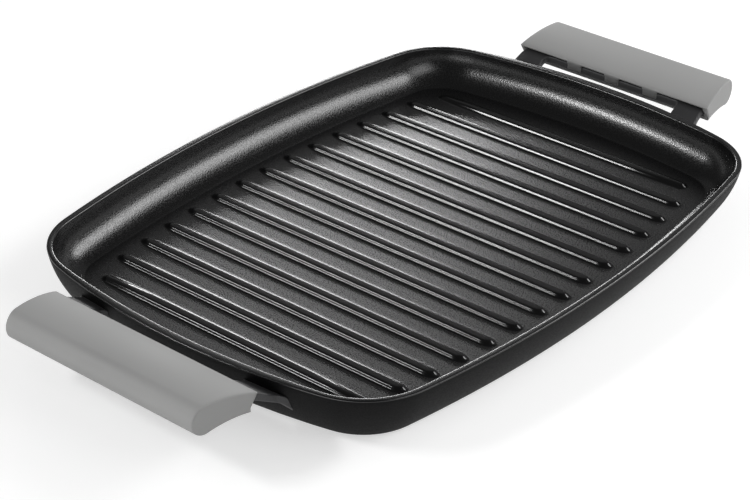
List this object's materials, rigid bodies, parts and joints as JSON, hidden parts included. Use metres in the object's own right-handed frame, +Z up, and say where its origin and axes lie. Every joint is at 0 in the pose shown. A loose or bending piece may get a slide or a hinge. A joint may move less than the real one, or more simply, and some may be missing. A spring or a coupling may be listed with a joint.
{
  "type": "grill plate",
  "caption": "Rectangular cast grill plate with raised parallel ribs, a coved wall and flat rim, and a loop lug at each short end in a slip-on silicone grip sleeve.",
  "frame": {"origin": "middle of the flat underside that the plate stands on", "axes": "+X from the front handle to the rear handle, +Y along the ribs, +Z up out of the cooking floor"},
  "size_m": [0.4396, 0.2524, 0.0362],
  "materials": {
    "coated_casting": "cast aluminium under a black non-stick coating, satin with a fine grain",
    "grip_silicone": "mid-grey moulded silicone, matte"
  },
  "bodies": {
    "plate": {"grill_plate": "coated_casting"},
    "rear_sleeve": {"rear_grip_sleeve": "grip_silicone"},
    "front_sleeve": {"front_grip_sleeve": "grip_silicone"}
  },
  "joints": [
    {"name": "rear_sleeve_pull", "type": "slide", "parent": "plate", "child": "rear_sleeve", "axis": [1, 0, 0], "range_m": [0, 0.04]},
    {"name": "front_sleeve_pull", "type": "slide", "parent": "plate", "child": "front_sleeve", "axis": [-1, 0, 0], "range_m": [0, 0.04]}
  ]
}
